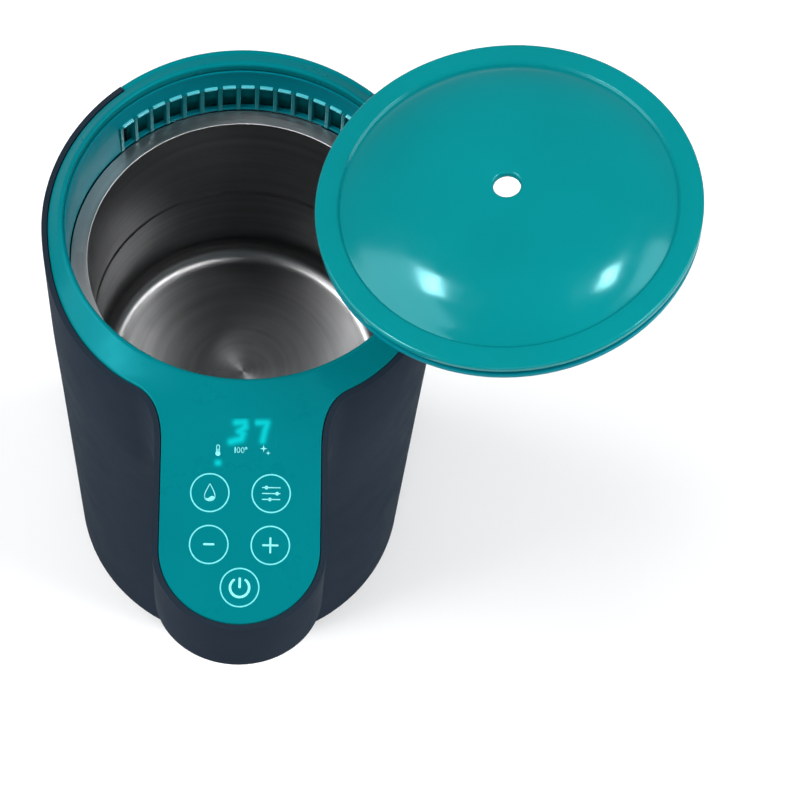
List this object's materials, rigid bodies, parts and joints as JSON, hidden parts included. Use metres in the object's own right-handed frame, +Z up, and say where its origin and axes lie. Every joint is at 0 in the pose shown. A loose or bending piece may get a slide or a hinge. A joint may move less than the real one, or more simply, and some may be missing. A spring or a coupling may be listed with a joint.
{
  "type": "yogurt maker",
  "caption": "Round countertop warmer for milk and yogurt: dark body, steel vessel under a vented collar, sloping touch panel on a pouring nose, domed lift-off lid.",
  "frame": {"origin": "centre of the underside of the base plate, on the axis of the round body and vessel; the four rubber feet stand 2.5 mm below it", "axes": "+Z up along the body axis, -Y to the front where the nose and touch panel point, +X to the right seen from the front"},
  "size_m": [0.2575, 0.2503, 0.3444],
  "materials": {
    "slate_body": "satin",
    "teal_cover": "gloss",
    "stainless": "brushed",
    "cast_aluminium": "cast",
    "copper": "bare",
    "brass": "plated",
    "clear_silicone": "satin",
    "rubber_foot": "matte",
    "white_plastic": "matte",
    "black_plastic": "matte",
    "circuit_board": "gloss",
    "led_lens": "gloss"
  },
  "bodies": {
    "housing": {"outer_shell": "slate_body", "rear_cover": "teal_cover", "top_cover": "teal_cover", "vent_collar": "teal_cover", "nose_cover": "slate_body", "base_plate": "black_plastic", "inner_frame": "white_plastic", "vessel": "stainless", "vessel_gasket": "clear_silicone", "heater_plate": "cast_aluminium", "heater_element": "stainless", "thermostat": "black_plastic", "thermal_fuse": "copper", "ntc_sensor": "brass", "pump_motor": "stainless", "pump_housing": "white_plastic", "suction_hose": "clear_silicone", "outlet_hose": "clear_silicone", "spout_nozzle": "white_plastic", "fan_frame": "black_plastic", "air_duct": "white_plastic", "main_board": "circuit_board", "relay": "black_plastic", "transformer": "copper", "capacitor": "black_plastic", "terminal_block": "circuit_board", "power_inlet": "black_plastic", "control_board": "circuit_board", "led_display": "led_lens", "foot_1": "rubber_foot", "base_screw_1": "stainless", "foot_2": "rubber_foot", "base_screw_2": "stainless", "foot_3": "rubber_foot", "base_screw_3": "stainless", "foot_4": "rubber_foot", "base_screw_4": "stainless", "rear_screw_1": "stainless", "rear_screw_2": "stainless", "inlet_pin_1": "brass", "status_led_1": "led_lens", "inlet_pin_2": "brass", "status_led_2": "led_lens", "inlet_pin_3": "brass", "status_led_3": "led_lens", "touch_spring_water": "brass", "touch_spring_mode": "brass", "touch_spring_minus": "brass", "touch_spring_plus": "brass", "touch_spring_power": "brass"},
    "lid": {"lid_cover": "teal_cover", "lid_base": "teal_cover", "lid_seal": "clear_silicone"},
    "fan": {"fan_rotor": "black_plastic"},
    "impeller": {"pump_impeller": "black_plastic"}
  },
  "joints": [
    {"name": "lid_lift", "type": "hinge", "parent": "housing", "child": "lid", "pos_m": [-0.0737, 0.3079, 0.8075], "axis": [0.3145, 0.8347, -0.4521], "range_deg": [0, 10.27]},
    {"name": "fan_spin", "type": "hinge", "parent": "housing", "child": "fan", "pos_m": [0, 0.0595, 0.072], "axis": [0, 1, 0], "continuous": true},
    {"name": "pump_spin", "type": "hinge", "parent": "housing", "child": "impeller", "pos_m": [0, -0.054, 0.05], "axis": [0, 0, 1], "continuous": true}
  ]
}
